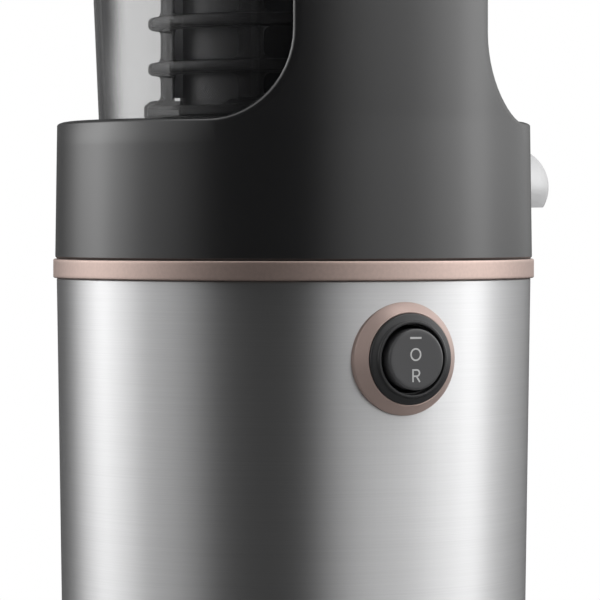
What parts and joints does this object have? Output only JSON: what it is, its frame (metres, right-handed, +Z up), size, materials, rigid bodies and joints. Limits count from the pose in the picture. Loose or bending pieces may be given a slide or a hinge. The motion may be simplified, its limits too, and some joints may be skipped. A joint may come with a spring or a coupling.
{
  "type": "cold press juicer",
  "caption": "Upright slow juicer: steel base with round rocker switch, rear tower, clear bowl with strainer, cage and auger, lid with chute and pusher.",
  "frame": {"origin": "on the table, under the axis of the drive and the bowl", "axes": "+Z up; the juice spout at -Y, the pulp spout at -X, the tower and the switch behind, 18.5 degrees from +Y towards +X"},
  "size_m": [0.1963, 0.1847, 0.441],
  "materials": {
    "rubber_black": "matt rubber",
    "silicone_grey": "soft silicone",
    "silicone_black": "soft silicone",
    "black_plastic": "fine texture",
    "gloss_black": "moulded, softly glossy",
    "smoke_clear": "smoke tinted, clear, polished",
    "cage_plastic": "moulded, satin",
    "auger_plastic": "moulded, satin",
    "brushed_steel": "brushed round the body",
    "rose_metal": "satin, rose champagne",
    "satin_silver": "satin silver lacquer",
    "mesh_steel": "fine perforated sheet",
    "plain_steel": "machined",
    "core_steel": "stacked sheets",
    "copper_wire": "enamelled wire",
    "bronze": "sintered",
    "cast_aluminium": "die cast",
    "white_nylon": "moulded",
    "capacitor_shell": "smooth",
    "board_green": "solder mask"
  },
  "bodies": {
    "base": {"base_plate": "black_plastic", "rubber_feet": "rubber_black", "base_skirt": "black_plastic", "steel_sleeve": "brushed_steel", "accent_band": "rose_metal", "support_columns": "plain_steel", "top_frame": "black_plastic", "case_screws": "plain_steel", "upper_housing": "gloss_black", "bowl_well": "black_plastic", "shaft_seal": "silicone_black", "switch_ring": "rose_metal", "switch_bezel": "black_plastic", "switch_body": "black_plastic", "switch_terminals": "bronze", "cord_gland": "rubber_black", "terminal_block": "white_nylon", "run_capacitor": "capacitor_shell", "control_board": "board_green", "motor_mounts": "rubber_black", "lower_bracket": "cast_aluminium", "upper_bracket": "cast_aluminium", "motor_bearings": "plain_steel", "through_bolts": "plain_steel", "stator_core": "core_steel", "stator_windings": "copper_wire", "ring_gear": "plain_steel", "gearbox_housing": "cast_aluminium", "gearbox_cover": "cast_aluminium", "output_bush": "bronze"},
    "rotor": {"rotor_core": "core_steel", "rotor_shaft": "plain_steel", "cooling_fan": "black_plastic", "first_sun_gear": "plain_steel"},
    "first_planet_a": {"first_planet_a": "plain_steel"},
    "first_planet_b": {"first_planet_b": "plain_steel"},
    "first_planet_c": {"first_planet_c": "plain_steel"},
    "first_carrier": {"first_carrier": "plain_steel", "second_sun_gear": "plain_steel"},
    "second_planet_a": {"second_planet_a": "plain_steel"},
    "second_planet_b": {"second_planet_b": "plain_steel"},
    "second_planet_c": {"second_planet_c": "plain_steel"},
    "output": {"second_carrier": "plain_steel"},
    "bowl": {"bowl": "smoke_clear", "pulp_nozzle": "satin_silver", "juice_nozzle": "satin_silver", "cap_pin": "plain_steel", "strainer_base": "cage_plastic", "strainer_drum": "cage_plastic", "strainer_mesh": "mesh_steel"},
    "auger": {"auger": "auger_plastic"},
    "idler": {"idler_gear": "white_nylon"},
    "cage": {"brush_cage": "cage_plastic", "wiper_strips": "silicone_grey"},
    "drip_cap": {"drip_cap": "satin_silver"},
    "rocker": {"rocker_button": "black_plastic"},
    "lid": {"lid": "gloss_black", "lid_seal": "silicone_grey", "feed_tray": "gloss_black"},
    "pusher": {"pusher": "black_plastic"}
  },
  "joints": [
    {"name": "motor_spin", "type": "hinge", "parent": "base", "child": "rotor", "pos_m": [0, 0, 0.064], "axis": [0, 0, 1], "continuous": true},
    {"name": "first_carrier_spin", "type": "hinge", "parent": "base", "child": "first_carrier", "pos_m": [0, 0, 0.121], "axis": [0, 0, 1], "continuous": true},
    {"name": "first_planet_a_spin", "type": "hinge", "parent": "first_carrier", "child": "first_planet_a", "pos_m": [0.01875, 0, 0.112], "axis": [0, 0, 1], "continuous": true},
    {"name": "first_planet_b_spin", "type": "hinge", "parent": "first_carrier", "child": "first_planet_b", "pos_m": [-0.00937, 0.01624, 0.112], "axis": [0, 0, 1], "continuous": true},
    {"name": "first_planet_c_spin", "type": "hinge", "parent": "first_carrier", "child": "first_planet_c", "pos_m": [-0.00937, -0.01624, 0.112], "axis": [0, 0, 1], "continuous": true},
    {"name": "output_spin", "type": "hinge", "parent": "base", "child": "output", "pos_m": [0, 0, 0.139], "axis": [0, 0, 1], "continuous": true},
    {"name": "second_planet_a_spin", "type": "hinge", "parent": "output", "child": "second_planet_a", "pos_m": [0.01875, 0, 0.13], "axis": [0, 0, 1], "continuous": true},
    {"name": "second_planet_b_spin", "type": "hinge", "parent": "output", "child": "second_planet_b", "pos_m": [-0.00937, 0.01624, 0.13], "axis": [0, 0, 1], "continuous": true},
    {"name": "second_planet_c_spin", "type": "hinge", "parent": "output", "child": "second_planet_c", "pos_m": [-0.00937, -0.01624, 0.13], "axis": [0, 0, 1], "continuous": true},
    {"name": "bowl_lift", "type": "slide", "parent": "base", "child": "bowl", "axis": [0, 0, 1], "range_m": [0, 0.15]},
    {"name": "auger_spin", "type": "hinge", "parent": "bowl", "child": "auger", "pos_m": [0, 0, 0.26], "axis": [0, 0, 1], "continuous": true},
    {"name": "idler_spin", "type": "hinge", "parent": "bowl", "child": "idler", "pos_m": [0.025, 0, 0.227], "axis": [0, 0, 1], "continuous": true},
    {"name": "cage_spin", "type": "hinge", "parent": "bowl", "child": "cage", "pos_m": [0, 0, 0.26], "axis": [0, 0, 1], "continuous": true},
    {"name": "lid_lift", "type": "slide", "parent": "bowl", "child": "lid", "axis": [0, 0, 1], "range_m": [0, 0.12]},
    {"name": "pusher_slide", "type": "slide", "parent": "lid", "child": "pusher", "axis": [0, 0, 1], "range_m": [0, 0.1]},
    {"name": "drip_cap_hinge", "type": "hinge", "parent": "bowl", "child": "drip_cap", "pos_m": [0, -0.0971, 0.205], "axis": [-1, 0, 0], "range_deg": [0, 100]},
    {"name": "rocker_hinge", "type": "hinge", "parent": "base", "child": "rocker", "pos_m": [0.0227, 0.07184, 0.1555], "axis": [-0.9483, 0.3173, 0], "range_deg": [-8, 8]}
  ],
  "couplings": [
    {"joint": "first_carrier_spin", "follows": "motor_spin", "ratio": 0.2},
    {"joint": "first_planet_a_spin", "follows": "motor_spin", "ratio": -0.53333},
    {"joint": "first_planet_b_spin", "follows": "motor_spin", "ratio": -0.53333},
    {"joint": "first_planet_c_spin", "follows": "motor_spin", "ratio": -0.53333},
    {"joint": "output_spin", "follows": "motor_spin", "ratio": 0.04},
    {"joint": "second_planet_a_spin", "follows": "motor_spin", "ratio": -0.10667},
    {"joint": "second_planet_b_spin", "follows": "motor_spin", "ratio": -0.10667},
    {"joint": "second_planet_c_spin", "follows": "motor_spin", "ratio": -0.10667},
    {"joint": "auger_spin", "follows": "motor_spin", "ratio": 0.04},
    {"joint": "idler_spin", "follows": "motor_spin", "ratio": -0.06},
    {"joint": "cage_spin", "follows": "motor_spin", "ratio": -0.017143}
  ]
}
